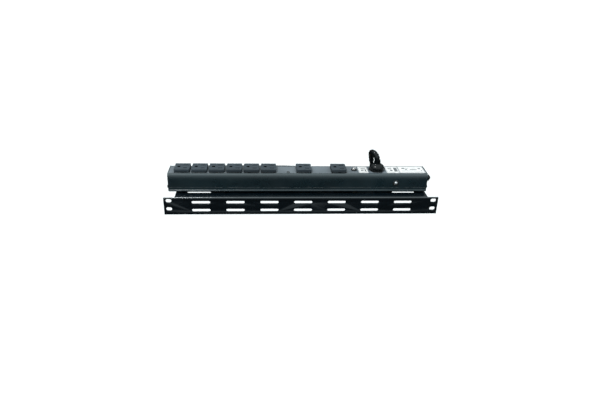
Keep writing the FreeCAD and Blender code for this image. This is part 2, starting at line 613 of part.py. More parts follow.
def hank_ties():
    """Straps over the near and the far side of the hank."""
    across = "(3 * cord_diameter)"
    straps = []
    for side in (-1, 1):
        edge = "(hank_y + %d * (fold_radius + cord_diameter / 2 - %s / 2) - %s / 2)" % (side, across, across)
        straps.append(box("tie_strap%d" % side, [5, across, 0.5],
                          ["hank_x + %d * 30 - 2.5" % side, edge, "shelf_top + hank_height"]))
    node(group("hank_ties", straps), "hank_ties")


def mains_plug():
    """Moulded three-pin plug lying on the shelf, with its ribbed strain relief."""
    axis_z = "(shelf_top + plug_height / 2)"
    body = box("plug_block", ["plug_length", "plug_width", "plug_height"],
               ["plug_x", "plug_y - plug_width / 2", "shelf_top"])

    def long_edge(middle, direction):
        return abs(direction.x) > 1

    def rear_edge(middle, direction):
        return abs(middle.x - size("plug_x")) < 0.01
    body = rounded("plug_round", body, 5, long_edge)
    body = rounded("plug_body_shape", body, 3, rear_edge)
    node(body, "plug_body")
    start = "(plug_x - 20)"
    sleeve = cone("relief_cone", "cord_diameter / 2 + 1.2", 6.5, 20, [start, "plug_y", axis_z], (1, 0, 0))
    bore = cylinder("relief_bore", "cord_diameter / 2", 30, ["plug_x - 26", "plug_y", axis_z], (1, 0, 0))
    node(cut("plug_strain_relief", sleeve, [bore]), "plug_strain_relief")
    face = "(plug_x + plug_length)"
    pins = [box("plug_blade%d" % side, [16, 1.5, 6.3],
                [face, "plug_y + %d * blade_spread - 0.75" % side, axis_z + " + 0.5"])
            for side in (-1, 1)]
    shaft = cylinder("pin_shaft", 2.35, 17, [face, "plug_y", axis_z + " - 7.5"], (1, 0, 0))
    tip = cone("pin_tip", 2.35, 1.2, 1.6, [face + " + 17", "plug_y", axis_z + " - 7.5"], (1, 0, 0))
    node(group("plug_pins", pins + [fuse("ground_pin", [shaft, tip])]), "plug_pins")


def inner_wires():
    """Insulated wires from the lead to breaker, bus bars and ground screw."""
    wire = size("wire_diameter")
    line_in = [(135.5, 35, 45.5), (136.5, 34.5, 34), (148, 32, 28), (166, 31, 30), (180, 31.2, 35)]
    line_on = [(181, 44, 35), (168, 44.5, 29), (146, 42, 24), (112, 32, 24.5), (92, 29.3, 27.5),
               (84.4, 29.2, 28.4)]
    neutral = [(131, 38.8, 45.5), (129, 40, 34), (116, 42, 29), (98, 42, 28.4), (84.4, 42, 28.4)]
    earth_in = [(132, 34.2, 45.5), (132.4, 33, 35), (139, 26, 30.5), (147.5, 21.4, 32.6), (153, 20.6, 33.6)]
    earth_on = [(150, 24.6, 36), (138, 27, 30), (114, 35, 26.5), (97, 35.7, 28), (84.4, 35.6, 28.4)]
    for name, routes in (("line_wires", (line_in, line_on)), ("neutral_wire", (neutral,)),
                         ("ground_wires", (earth_in, earth_on))):
        wires = [tube("%s route %d" % (name, number), route, wire)
                 for number, route in enumerate(routes, start=1)]
        shape_node(name, Part.makeCompound(wires) if len(wires) > 1 else wires[0])


def main():
    rack_bracket()
    mounting_feet()
    housing_channel()
    outlet_cover()
    cover_screw()
    base_plate()
    end_cap("left", "strip_left", "strip_left + cap")
    end_cap("right", STRIP_RIGHT, STRIP_RIGHT + " - cap")
    cap_screws()
    for number, centre in enumerate(outlet_centres(), start=1):
        receptacle(number, centre)
    busbar("line_busbar", "(-blade_spread)", "blade_shift", 6)
    busbar("neutral_busbar", "blade_spread", "blade_shift", 6)
    busbar("ground_busbar", "0", "(-ground_shift)", 4)
    bus_tray()
    pilot_lamp()
    cord_gland()
    ground_screw()
    breaker()
    labels()
    mains_lead()
    hank_ties()
    mains_plug()
    inner_wires()
    document.recompute()
    for item in document.Objects:
        if "Invalid" in item.State or "Error" in item.State:
            raise RuntimeError("%s failed: %s" % (item.Name, item.State))
    os.makedirs("parts", exist_ok=True)
    for item in nodes:
        shape = item.Shape
        if shape.isNull() or not shape.isValid():
            raise RuntimeError(item.Label + " has no valid shape")
        shape.exportStep("parts/%s.step" % item.Label)
        print("%-24s solids %d volume %.1f" % (item.Label, len(shape.Solids), shape.Volume))


main()
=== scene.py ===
"""Looks of the rack power strip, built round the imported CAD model. All sizes are in metres."""
import bmesh
import bpy
import math
from mathutils import Matrix, Vector
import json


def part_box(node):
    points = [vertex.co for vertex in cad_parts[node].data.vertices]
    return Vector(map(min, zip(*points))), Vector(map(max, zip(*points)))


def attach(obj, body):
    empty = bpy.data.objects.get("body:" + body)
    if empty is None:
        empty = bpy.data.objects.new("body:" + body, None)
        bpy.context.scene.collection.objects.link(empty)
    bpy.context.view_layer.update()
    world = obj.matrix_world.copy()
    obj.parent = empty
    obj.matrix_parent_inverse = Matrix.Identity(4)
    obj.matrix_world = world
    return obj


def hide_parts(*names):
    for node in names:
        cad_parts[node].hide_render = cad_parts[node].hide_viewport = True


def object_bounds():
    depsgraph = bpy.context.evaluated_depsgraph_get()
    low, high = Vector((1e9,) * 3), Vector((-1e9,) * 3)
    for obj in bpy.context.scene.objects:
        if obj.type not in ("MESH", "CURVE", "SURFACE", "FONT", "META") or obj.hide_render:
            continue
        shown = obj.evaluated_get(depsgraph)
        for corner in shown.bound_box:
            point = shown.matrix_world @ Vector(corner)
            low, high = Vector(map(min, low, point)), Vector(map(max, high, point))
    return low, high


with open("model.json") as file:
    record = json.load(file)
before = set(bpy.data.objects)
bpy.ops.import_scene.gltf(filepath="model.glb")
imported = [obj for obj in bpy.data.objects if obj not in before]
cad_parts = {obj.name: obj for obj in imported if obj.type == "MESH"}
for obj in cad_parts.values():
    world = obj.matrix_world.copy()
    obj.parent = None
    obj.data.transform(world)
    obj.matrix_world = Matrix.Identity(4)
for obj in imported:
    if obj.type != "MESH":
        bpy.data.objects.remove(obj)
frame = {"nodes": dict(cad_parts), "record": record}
cad_low, cad_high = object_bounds()

MM = 0.001
STRIP = "strip"
BUTTON = "reset_button"
BLADE_REACH = 6.35 * MM      # from the middle of a plug or an outlet to each blade
OUTLETS = ["receptacle_face_%d" % number for number in range(1, 9)]

shelf_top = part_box("cord_hank")[0].z
strip_low, strip_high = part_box("housing_channel")
strip_top = strip_high.z


# ---- camera --------------------------------------------------------------------------------

def add_camera():
    """A pitched camera a little left of the middle, at the height the view asks for."""
    place = Vector((-0.0732, -0.8058, 0.4245))
    yaw, pitch, roll = (math.radians(angle) for angle in (4.78, 27.23, 2.08))
    ahead = Vector((math.sin(yaw) * math.cos(pitch), math.cos(yaw) * math.cos(pitch),
                    -math.sin(pitch)))
    level = Vector((math.cos(yaw), -math.sin(yaw), 0))
    right = level * math.cos(roll) + level.cross(ahead) * math.sin(roll)
    up = right.cross(ahead)
    data = bpy.data.cameras.new("camera")
    data.sensor_width = 36
    data.lens = 31.14
    camera = bpy.data.objects.new("camera", data)
    bpy.context.scene.collection.objects.link(camera)
    axes = Matrix((right, up, -ahead)).transposed().to_4x4()
    camera.matrix_world = Matrix.Translation(place) @ axes
    bpy.context.scene.camera = camera


add_camera()


# ---- materials -----------------------------------------------------------------------------

def new_material(name):
    """A node material, with its tree and its shader."""
    material = bpy.data.materials.new(name)
    material.use_nodes = True
    tree = material.node_tree
    return material, tree, tree.nodes["Principled BSDF"]


def add_node(tree, kind, **settings):
    """A new node with some of its settings made."""
    node = tree.nodes.new(kind)
    for name, value in settings.items():
        setattr(node, name, value)
    return node


def noise_at(tree, scale, detail=3.0, stretch=(1, 1, 1)):
    """A noise texture in the piece's own metres."""
    place = add_node(tree, "ShaderNodeTexCoord")
    mapping = add_node(tree, "ShaderNodeMapping")
    mapping.inputs["Scale"].default_value = stretch
    texture = add_node(tree, "ShaderNodeTexNoise")
    texture.inputs["Scale"].default_value = scale
    texture.inputs["Detail"].default_value = detail
    tree.links.new(place.outputs["Object"], mapping.inputs["Vector"])
    tree.links.new(mapping.outputs["Vector"], texture.inputs["Vector"])
    return texture.outputs["Fac"]


def spread(tree, factor, low, high, from_low=0.35, from_high=0.65):
    """The factor's range mapped to low and high, and clamped there."""
    node = add_node(tree, "ShaderNodeMapRange")
    node.inputs["From Min"].default_value = from_low
    node.inputs["From Max"].default_value = from_high
    node.inputs["To Min"].default_value = low
    node.inputs["To Max"].default_value = high
    tree.links.new(factor, node.inputs["Value"])
    return node.outputs["Result"]


def mix_colour(tree, factor, first, second):
    """A mix of two colours, each given as numbers or as another node's output."""
    node = add_node(tree, "ShaderNodeMix", data_type="RGBA")
    tree.links.new(factor, node.inputs["Factor"])
    for socket, value in ((node.inputs[6], first), (node.inputs[7], second)):
        if isinstance(value, tuple):
            socket.default_value = (*value, 1)
        else:
            tree.links.new(value, socket)
    return node.outputs[2]


def edge_mask(tree, radius):
    """Near 1 where the surface turns sharply within the radius, near 0 on flats."""
    bevel = add_node(tree, "ShaderNodeBevel", samples=4)
    bevel.inputs["Radius"].default_value = radius
    geometry = add_node(tree, "ShaderNodeNewGeometry")
    dot = add_node(tree, "ShaderNodeVectorMath", operation="DOT_PRODUCT")
    tree.links.new(bevel.outputs["Normal"], dot.inputs[0])
    tree.links.new(geometry.outputs["Normal"], dot.inputs[1])
    return spread(tree, dot.outputs["Value"], 1.0, 0.0, 0.75, 0.995)


def surface(name, colour, rough, variation=0.15, patch=14, grain=900, bump=0.15, metallic=0.0,
            specular=0.5, worn=None, stretch=(1, 1, 1), gloss_tint=(1, 1, 1)):
    """Painted, moulded or metal surface: cloudy colour, uneven gloss, fine grain and worn edges."""
    material, tree, shader = new_material(name)
    clouds = noise_at(tree, patch, 4.0, stretch)
    darker = tuple(value * (1 - variation) for value in colour)
    lighter = tuple(min(1, value * (1 + variation)) for value in colour)
    tint = mix_colour(tree, spread(tree, clouds, 0, 1), darker, lighter)
    if worn:
        amount = add_node(tree, "ShaderNodeMath", operation="MULTIPLY")
        tree.links.new(edge_mask(tree, 0.0006), amount.inputs[0])
        tree.links.new(spread(tree, noise_at(tree, 160, 5.0), 0.0, 0.9), amount.inputs[1])
        tint = mix_colour(tree, amount.outputs["Value"], tint, worn)
    tree.links.new(tint, shader.inputs["Base Color"])
    smudges = noise_at(tree, patch * 3.1, 6.0, stretch)
    tree.links.new(spread(tree, smudges, rough * 0.82, min(1, rough * 1.2)),
                   shader.inputs["Roughness"])
    shader.inputs["Metallic"].default_value = metallic
    shader.inputs["Specular IOR Level"].default_value = specular
    shader.inputs["Specular Tint"].default_value = (*gloss_tint, 1)
    if bump:
        node = add_node(tree, "ShaderNodeBump")
        node.inputs["Strength"].default_value = bump
        node.inputs["Distance"].default_value = 0.0002
        tree.links.new(noise_at(tree, grain, 2.0, stretch), node.inputs["Height"])
        tree.links.new(node.outputs["Normal"], shader.inputs["Normal"])
    return material


BLUE_GLOSS = (0.92, 0.98, 1)
PAINT_WORN = (0.22, 0.23, 0.23)
bracket_paint = surface("bracket_black_powder_coat", (0.0010, 0.0034, 0.0055), 0.24, specular=0.8,
                        grain=1400, bump=0.2, worn=(0.06, 0.07, 0.07), gloss_tint=BLUE_GLOSS)
housing_paint = surface("housing_charcoal_paint", (0.0030, 0.0115, 0.0155), 0.3, specular=0.8,
                        grain=1100, bump=0.12, worn=PAINT_WORN, gloss_tint=BLUE_GLOSS)
cover_paint = surface("cover_grey_paint", (0.112, 0.132, 0.148), 0.42, grain=1500, bump=0.35,
                      worn=(0.3, 0.31, 0.31))
outlet_plastic = surface("outlet_grey_plastic", (0.027, 0.038, 0.048), 0.4, grain=1800, bump=0.3)
# Near black and nearly without gloss: painted shade inside the outlet holes, and a painted shadow
# line at each outlet's foot.
painted_shade_black = surface("painted_shade_near_black", (0.002, 0.002, 0.0022), 0.85, bump=0, specular=0.03)
module_plastic = surface("module_black_plastic", (0.02, 0.02, 0.022), 0.5)
brass = surface("contact_brass", (0.72, 0.5, 0.2), 0.28, metallic=1.0, grain=700,
                stretch=(1, 12, 1))
zinc = surface("zinc_plated_steel", (0.62, 0.64, 0.66), 0.3, metallic=1.0, grain=900, bump=0.1)
bright_steel = surface("polished_steel", (0.42, 0.43, 0.44), 0.2, metallic=1.0, grain=900,
                       bump=0.05)
dark_steel = surface("blackened_steel", (0.10, 0.105, 0.11), 0.16, metallic=0.95,
                     worn=(0.5, 0.5, 0.51))
nylon = surface("black_nylon", (0.0015, 0.0026, 0.0032), 0.11, grain=600, bump=0.04, specular=0.2)
button_plastic = surface("button_black_plastic", (0.012, 0.012, 0.013), 0.28)
vinyl = surface("cord_black_vinyl", (0.0018, 0.0024, 0.003), 0.15, grain=500, bump=0.15, patch=40,
                specular=0.25)
strap = surface("tie_strap_fabric", (0.02, 0.02, 0.022), 0.9, grain=2600, bump=1.0)
wire_black = surface("wire_black_pvc", (0.015, 0.015, 0.016), 0.35)
wire_white = surface("wire_white_pvc", (0.8, 0.8, 0.77), 0.35)
wire_green = surface("wire_green_pvc", (0.03, 0.2, 0.05), 0.35)
label_paper = surface("label_white_paper", (0.67, 0.665, 0.66), 0.4, variation=0.04, bump=0.08)
print_grey = surface("label_grey_print", (0.10, 0.11, 0.115), 0.6, bump=0.05)
bulb_white = surface("lamp_frosted_white", (0.85, 0.85, 0.8), 0.5, variation=0.05)
lens_glass = surface("lamp_clear_lens", (0.95, 0.95, 0.95), 0.12, variation=0.02, bump=0.05)
lens_shader = lens_glass.node_tree.nodes["Principled BSDF"]
lens_shader.inputs["Transmission Weight"].default_value = 0.75
lens_shader.inputs["IOR"].default_value = 1.49


# ---- mesh helpers --------------------------------------------------------------------------

def put(name, mesh, material, body=STRIP, replaces=(), smooth=math.radians(32)):
    """Make a piece of a mesh, shade it, and let it ride on a body."""
    mesh.materials.clear()
    mesh.materials.append(material)
    mesh.shade_smooth()
    mesh.set_sharp_from_angle(angle=smooth)
    piece = bpy.data.objects.new(name, mesh)
    bpy.context.scene.collection.objects.link(piece)
    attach(piece, body)
    if replaces:
        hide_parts(*replaces)
    return piece


def mesh_of(piece):
    """The piece's mesh with its modifiers or its curve worked out."""
    graph = bpy.context.evaluated_depsgraph_get()
    graph.update()
    return bpy.data.meshes.new_from_object(piece.evaluated_get(graph))


def softened(node, material, width, segments=2):
    """A copy of a CAD node with its sharp edges rounded."""
    mesh = frame["nodes"][node].data.copy()
    work = bmesh.new()
    work.from_mesh(mesh)
    bmesh.ops.remove_doubles(work, verts=work.verts, dist=1e-6)
    bmesh.ops.dissolve_limit(work, angle_limit=math.radians(0.4), verts=work.verts,
                             edges=work.edges)
    work.to_mesh(mesh)
    work.free()
    scratch = bpy.data.objects.new("scratch", mesh)
    bpy.context.scene.collection.objects.link(scratch)
    bevel = scratch.modifiers.new("bevel", "BEVEL")
    bevel.width = width
    bevel.segments = segments
    bevel.limit_method = "ANGLE"
    bevel.angle_limit = math.radians(35)
    bevel.use_clamp_overlap = True
    result = mesh_of(scratch)
    bpy.data.objects.remove(scratch)
    return put(node + "_shell", result, material, STRIP, (node,), math.radians(35))


# ---- shapes --------------------------------------------------------------------------------

def mesh_from(name, points, faces):
    """A mesh of points and faces, with its normals outward."""
    mesh = bpy.data.meshes.new(name)
    mesh.from_pydata([tuple(point) for point in points], [], faces)
    work = bmesh.new()
    work.from_mesh(mesh)
    bmesh.ops.recalc_face_normals(work, faces=work.faces)
    work.to_mesh(mesh)
    work.free()
    return mesh


def joined(meshes):
    """One mesh of several."""
    work = bmesh.new()
    for mesh in meshes:
        work.from_mesh(mesh)
    result = bpy.data.meshes.new("joined")
    work.to_mesh(result)
    work.free()
    return result


def moved(mesh, matrix):
    """The same mesh, put through a matrix."""
    mesh.transform(matrix)
    mesh.update()
    return mesh


def frame_along(place, axis):
    """A matrix that puts a mesh's origin at a place and its own Z along an axis."""
    turn = Vector((0, 0, 1)).rotation_difference(Vector(axis)).to_matrix().to_4x4()
    return Matrix.Translation(Vector(place)) @ turn


def in_metres(pairs):
    """Pairs of millimetres as metres."""
    return [(first * MM, second * MM) for first, second in pairs]


def skin(rows, count, closed=False):
    """Faces between rings of count points each; closed joins the last ring to the first."""
    faces = []
    for row in range(rows if closed else rows - 1):
        below = (row + 1) % rows
        for here in range(count):
            there = (here + 1) % count
            faces.append((row * count + here, row * count + there,
                          below * count + there, below * count + here))
    return faces


def lathe(profile, place, axis=(0, 0, 1), steps=56, wave=None):
    """Turn (radius, height) pairs round an axis; wave changes a radius by angle and height."""
    points = []
    for radius, height in profile:
        for step in range(steps):
            angle = 2 * math.pi * step / steps
            reach = radius * (wave(angle, height) if wave else 1)
            points.append((reach * math.cos(angle), reach * math.sin(angle), height))
    faces = skin(len(profile), steps)
    for row in (0, len(profile) - 1):
        if profile[row][0] > 0.05 * MM:
            faces.append(tuple(row * steps + step for step in range(steps)))
    return moved(mesh_from("lathe", points, faces), frame_along(place, axis))


def tube_lathe(outer, inner, place, axis=(0, 0, 1), steps=56, wave=None):
    """A turned ring: the outer profile up and the inner one down again, closed."""
    profile = outer + inner[::-1]
    points = []
    for number, (radius, height) in enumerate(profile):
        for step in range(steps):
            angle = 2 * math.pi * step / steps
            reach = radius * (wave(angle, height) if wave and number < len(outer) else 1)
            points.append((reach * math.cos(angle), reach * math.sin(angle), height))
    faces = skin(len(profile), steps, closed=True)
    return moved(mesh_from("ring", points, faces), frame_along(place, axis))


def rounded_corners(x, y, width, depth, radius, steps=5):
    """Outline of a rectangle with round corners, round a centre."""
    points = []
    for corner, (across, along) in enumerate(((1, 1), (-1, 1), (-1, -1), (1, -1))):
        for step in range(steps + 1):
            angle = math.pi / 2 * (corner + step / steps)
            points.append((x + across * (width / 2 - radius) + radius * math.cos(angle),
                           y + along * (depth / 2 - radius) + radius * math.sin(angle)))
    return points


def plate(outlines, low, high, bevel, resolution=2):
    """A flat plate of an outline with holes, all its edges rounded."""
    data = bpy.data.curves.new("plate", "CURVE")
    data.dimensions = "2D"
    data.fill_mode = "BOTH"
    data.extrude = (high - low) / 2 - bevel
    data.bevel_depth = bevel
    data.bevel_resolution = resolution
    data.offset = -bevel
    for outline in outlines:
        spline = data.splines.new("POLY")
        spline.points.add(len(outline) - 1)
        for point, (x, y) in zip(spline.points, outline):
            point.co = (x, y, 0, 1)
        spline.use_cyclic_u = True
    scratch = bpy.data.objects.new("scratch", data)
    bpy.context.scene.collection.objects.link(scratch)
    mesh = mesh_of(scratch)
    bpy.data.objects.remove(scratch)
    return moved(mesh, Matrix.Translation((0, 0, (low + high) / 2)))


def centre_of(node):
    """The middle of a node's box."""
    low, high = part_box(node)
    return (low + high) / 2


# ---- cords ---------------------------------------------------------------------------------

CORD_RADIUS = 3.5 * MM
LEAD = [(0.1332, 0.03675, 0.0480), (0.1332, 0.03675, 0.0715), (0.1296, 0.0430, 0.0782),
        (0.1256, 0.0545, 0.0782), (0.1262, 0.0632, 0.0705), (0.1290, 0.0650, 0.0560),
        (0.1305, 0.0660, 0.0430), (0.1260, 0.0740, 0.0275), (0.1180, 0.0880, 0.0181),
        (0.1020, 0.1020, 0.0179), (0.0760, 0.1090, 0.0179), (0.0460, 0.1104, 0.0179),
        (0.0140, 0.1150, 0.0179), (-0.0160, 0.1204, 0.0179)]
TAIL = [(-0.0140, 0.0662, 0.0252), (0.0010, 0.0669, 0.0209), (0.0150, 0.0696, 0.0183),
        (0.0290, 0.0730, 0.0206), (0.0440, 0.0740, 0.0254), (0.0580, 0.0740, 0.0254)]


def fold(side, x, middle, radius, levels):
    """Four points round one fold of the hank."""
    reach = radius / math.cos(math.radians(22.5))
    angles = [22.5, 67.5, 112.5, 157.5]
    if side > 0:
        angles.reverse()
    return [(x + side * reach * math.sin(math.radians(angle)),
             middle + reach * math.cos(math.radians(angle)), level)
            for angle, level in zip(angles, levels)]


def hank_route():
    """Two and three quarter turns: two on the shelf, the last run lying on the near strands."""
    low, upper = 0.0179, 0.0240
    far_xs, near_xs = (-0.052, -0.099, -0.146), (-0.146, -0.099, -0.052)
    route = []
    for far, near, following in ((0.1210, 0.0627, 0.1140), (0.1140, 0.0697, 0.1070)):
        route += [(x, far, low) for x in far_xs]
        route += fold(-1, -0.169, (far + near) / 2, (far - near) / 2, [low] * 4)
        route += [(x, near, low) for x in near_xs]
        route += fold(1, -0.029, (near + following) / 2, (following - near) / 2, [low] * 4)
    route += [(x, 0.1070, low) for x in (-0.052, -0.099, -0.138)]
    route += fold(-1, -0.160, 0.0866, 0.0204, (low, 0.0190, 0.0236, 0.0262))
    route += [(-0.140, 0.0662, 0.0242), (-0.099, 0.0662, upper), (-0.052, 0.0662, upper)]
    return route


def add_lead():
    """The mains lead from inside the gland, through the hank, to the plug."""
    data = bpy.data.curves.new("mains_lead", "CURVE")
    data.dimensions = "3D"
    route = LEAD + hank_route() + TAIL
    spline = data.splines.new("NURBS")
    spline.points.add(len(route) - 1)
    for point, place in zip(spline.points, route):
        point.co = (*place, 1)
        point.radius = CORD_RADIUS
    spline.order_u = 3
    spline.use_endpoint_u = True
    spline.resolution_u = 10
    data.bevel_depth = 1
    data.bevel_resolution = 6
    data.use_fill_caps = True
    data.materials.append(vinyl)
    lead = bpy.data.objects.new("mains_lead", data)
    bpy.context.scene.collection.objects.link(lead)
    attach(lead, STRIP)
    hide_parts("cord_lead", "cord_hank", "cord_tail")
    return lead


def lead_line():
    """Points of the lead's own line, read from its spline."""
    lead = bpy.data.objects["mains_lead"]
    lead.data.bevel_depth = 0
    line = [vertex.co.copy() for vertex in mesh_of(lead).vertices]
    lead.data.bevel_depth = 1
    return line


def add_sleeve():
    """Ringed, tapering bend protector that follows the lead out of the gland."""
    start, length = 63 * MM, 60 * MM
    thick, taper, groove = 5.4, 0.8, 0.9
    line = lead_line()[:300]
    travelled, rings = 0.0, []
    for before, point, after in zip(line, line[1:], line[2:]):
        if point.z < start and travelled == 0:
            continue
        travelled += (point - before).length
        if travelled > length:
            break
        rings.append((point, (after - before).normalized(), travelled))
    points, steps = [], 28
    side = Vector((1, 0, 0))
    for number, (place, ahead, along) in enumerate(rings):
        side = (side - ahead * side.dot(ahead)).normalized()
        up = ahead.cross(side)
        share = along / length
        radius = (thick - taper * share) * MM * (groove if number % 4 > 1 and share < 0.9 else 1)
        if number == len(rings) - 1:
            radius = CORD_RADIUS
        points += [place + (side * math.cos(turn) + up * math.sin(turn)) * radius
                   for turn in (2 * math.pi * step / steps for step in range(steps))]
    faces = skin(len(rings), steps)
    faces += [tuple(range(steps)), tuple((len(rings) - 1) * steps + step for step in range(steps))]
    return put("bend_protector", mesh_from("sleeve", points, faces), nylon, STRIP, (),
               math.radians(50))


def turns_inward(before, here, after):
    """Whether the way from one point over the next to a third bends off a convex outline."""
    return ((here[0] - before[0]) * (after[1] - before[1])
            - (here[1] - before[1]) * (after[0] - before[0])) <= 0


def bundle_outline(strands, reach):
    """The taut loop round a bundle of strands, resting on the shelf."""
    samples = []
    for y, z in strands:
        for step in range(24):
            angle = 2 * math.pi * step / 24
            samples.append((round(y + reach * math.cos(angle), 6),
                            round(z + reach * math.sin(angle), 6)))
    samples = sorted(set(samples))

    def half(points):
        chain = []
        for point in points:
            while len(chain) > 1 and turns_inward(chain[-2], chain[-1], point):
                chain.pop()
            chain.append(point)
        return chain[:-1]

    return [(y, max(z, shelf_top + 0.02 * MM)) for y, z in half(samples) + half(samples[::-1])]


def add_ties():
    """Hook-and-loop straps round the near and the far strands, with an overlapped end."""
    meshes = []
    for x, strands in ((-0.129, ((0.0627, 0.0179), (0.0697, 0.0179), (0.0662, 0.0240))),
                       (-0.069, ((0.1210, 0.0179), (0.1140, 0.0179), (0.1070, 0.0179)))):
        outer = bundle_outline(strands, CORD_RADIUS + 0.5 * MM)
        middle = (sum(y for y, z in strands) / 3, sum(z for y, z in strands) / 3)
        inner = [(middle[0] + (y - middle[0]) * 0.93, max(middle[1] + (z - middle[1]) * 0.93,
                                                         shelf_top + 0.01 * MM)) for y, z in outer]
        count, half_width = len(outer), 5 * MM
        points = [(x + side * half_width, y, z) for side in (-1, 1) for ring in (outer, inner)
                  for y, z in ring]
        faces = []
        for here in range(count):
            there = (here + 1) % count
            faces += [(here, there, 2 * count + there, 2 * count + here),
                      (count + here, count + there, 3 * count + there, 3 * count + here),
                      (here, there, count + there, count + here),
                      (2 * count + here, 2 * count + there, 3 * count + there, 3 * count + here)]
        meshes.append(mesh_from("strap", points, faces))
        top = max(z for y, z in outer)
        meshes.append(plate([rounded_corners(x, middle[0] + 1 * MM, 9.4 * MM, 6 * MM, 1 * MM)],
                            top - 0.1 * MM, top + 0.5 * MM, 0.15 * MM))
    return put("hook_and_loop_ties", joined(meshes), strap, STRIP, ("hank_ties",))


def superellipse(half_y, half_z, power, steps=40):
    """Outline of a rounded section; a higher power is squarer."""
    points = []
    for step in range(steps):
        angle = 2 * math.pi * step / steps
        across, up = math.cos(angle), math.sin(angle)
        points.append((math.copysign(abs(across) ** (2 / power), across) * half_y,
                       math.copysign(abs(up) ** (2 / power), up) * half_z))
    return points


def loft(sections, middle):
    """Skin over (x, half width, half height, power) sections round a line along X."""
    rings = [[(x, middle[0] + y, middle[1] + z) for y, z in superellipse(wide, high, power)]
             for x, wide, high, power in sections]
    count = len(rings[0])
    points = [point for ring in rings for point in ring]
    faces = skin(len(rings), count)
    faces += [tuple(range(count)), tuple((len(rings) - 1) * count + here for here in range(count))]
    return mesh_from("loft", points, faces)


def add_plug():
    """Moulded plug with a waisted, ridged grip, a ribbed sleeve and bright blades."""
    low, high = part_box("plug_body")
    middle = ((low.y + high.y) / 2, (low.z + high.z) / 2)
    wide, tall = (high.y - low.y) / 2, (high.z - low.z) / 2
    back, face = low.x, high.x
    sections = [(back, wide * 0.62, tall * 0.62, 2.4),
                (back + 0.8 * MM, wide * 0.7, tall * 0.7, 2.5)]
    for step in range(25):
        along = step / 24
        squeeze = 0.74 + 0.16 * along + 0.05 * math.sin(along * math.pi * 10) * (along < 0.9)
        sections.append((back + (2 + 21 * along) * MM, wide * squeeze, tall * squeeze, 2.7))
    sections += [(back + 24 * MM, wide * 0.97, tall * 0.97, 3.2), (back + 25 * MM, wide, tall, 3.6),
                 (face - 1.2 * MM, wide, tall, 3.8),
                 (face - 0.3 * MM, wide * 0.975, tall * 0.975, 3.8),
                 (face, wide * 0.93, tall * 0.93, 3.8)]
    body = put("plug_moulding", loft(sections, middle), vinyl, STRIP, ("plug_body",))
    low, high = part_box("plug_strain_relief")
    ribs = []
    for step in range(41):
        along = step / 40
        groove = 0.82 if step % 5 in (1, 2) and 3 < step < 38 else 1
        ribs.append(((4.9 + 1.6 * along) * groove * MM, (high.x - low.x) * along))
    start = (low.x, middle[0], middle[1])
    sleeve = tube_lathe(ribs, [(CORD_RADIUS * 0.98, 0), (CORD_RADIUS * 0.98, high.x - low.x)],
                        start, (1, 0, 0), 40)
    sleeve = put("plug_sleeve", sleeve, vinyl, STRIP, ("plug_strain_relief",))
    blades = []
    for side in (-1, 1):
        hole = [(12 * MM + 1.6 * MM * math.cos(step * math.pi / 8),
                 3.65 * MM + 1.6 * MM * math.sin(step * math.pi / 8)) for step in range(16)]
        outline = in_metres([(-1, 0.5), (14.2, 0.5), (16, 1.6), (16, 5.7), (14.2, 6.8), (-1, 6.8)])
        blade = plate([outline, hole], -0.75 * MM, 0.75 * MM, 0.2 * MM)
        turn = Matrix.Translation((face, middle[0] + side * BLADE_REACH, middle[1]))
        blades.append(moved(blade, turn @ Matrix.Rotation(math.radians(90), 4, "X")))
    pin = in_metres([(2.35, -1), (2.35, 15.4), (2.2, 16.8), (1.7, 17.9), (0.9, 18.5), (0.01, 18.6)])
    blades.append(lathe(pin, (face, middle[0], middle[1] - 7.5 * MM), (1, 0, 0), 32))
    pins = put("plug_blades", joined(blades), brass, STRIP, ("plug_pins",))
    return [body, sleeve, pins]


mains_lead = add_lead()
[add_sleeve(), add_ties()] + add_plug()


# ---- sheet metal ---------------------------------------------------------------------------

def shoulder(side):
    """(y, z) points from the cover's seam over the round shoulder and down one wall, in metres."""
    front = strip_low.y if side < 0 else strip_high.y
    inward = -side * MM
    curve = ((front + 5.5 * inward, strip_top), (front + 0.9 * inward, strip_top),
             (front, strip_top - 5.2 * MM), (front, strip_top - 15 * MM))
    points = []
    for step in range(25):
        t = step / 24
        weights = ((1 - t) ** 3, 3 * t * (1 - t) ** 2, 3 * t * t * (1 - t), t ** 3)
        points.append(tuple(sum(weight * point[axis] for weight, point in zip(weights, curve))
                            for axis in (0, 1)))
    for inset, z in ((0, 24.85), (0.2, 24.75), (0.2, 24.5), (0, 24.4)):
        points.append((front + inset * inward, z * MM))
    return points + [(front, strip_low.z)]


def add_housing():
    """The trough as one bent profile, with soft shoulders, a seam ledge and a shallow crease."""
    left, right = strip_low.x, strip_high.x
    front = shoulder(-1)
    rear = shoulder(1)
    wall = 1.5 * MM
    ledge = strip_top - 1.5 * MM
    inner = [(strip_low.y + 6.4 * MM, ledge), (strip_low.y + 6.4 * MM, ledge - 1.5 * MM),
             (strip_low.y + wall, ledge - 4.5 * MM), (strip_low.y + wall, strip_low.z + wall)]
    mirror = strip_low.y + strip_high.y
    profile = (list(reversed(front)) + [(front[0][0], ledge)] + inner
               + [(mirror - y, z) for y, z in reversed(inner)] + [(rear[0][0], ledge)] + rear)
    count = len(profile)
    points = [(x, y, z) for x in (left, right) for y, z in profile]
    faces = skin(2, count) + [tuple(range(count)), tuple(range(count, 2 * count))]
    put("housing_shell", mesh_from("housing", points, faces), housing_paint, STRIP,
        ("housing_channel",), math.radians(28))


softened("rack_bracket", bracket_paint, 0.3 * MM)
softened("base_plate", housing_paint, 0.2 * MM)
softened("end_cap_left", housing_paint, 0.35 * MM)
softened("end_cap_right", housing_paint, 0.35 * MM)
softened("outlet_cover", cover_paint, 0.2 * MM)
add_housing()


# ---- outlets -------------------------------------------------------------------------------

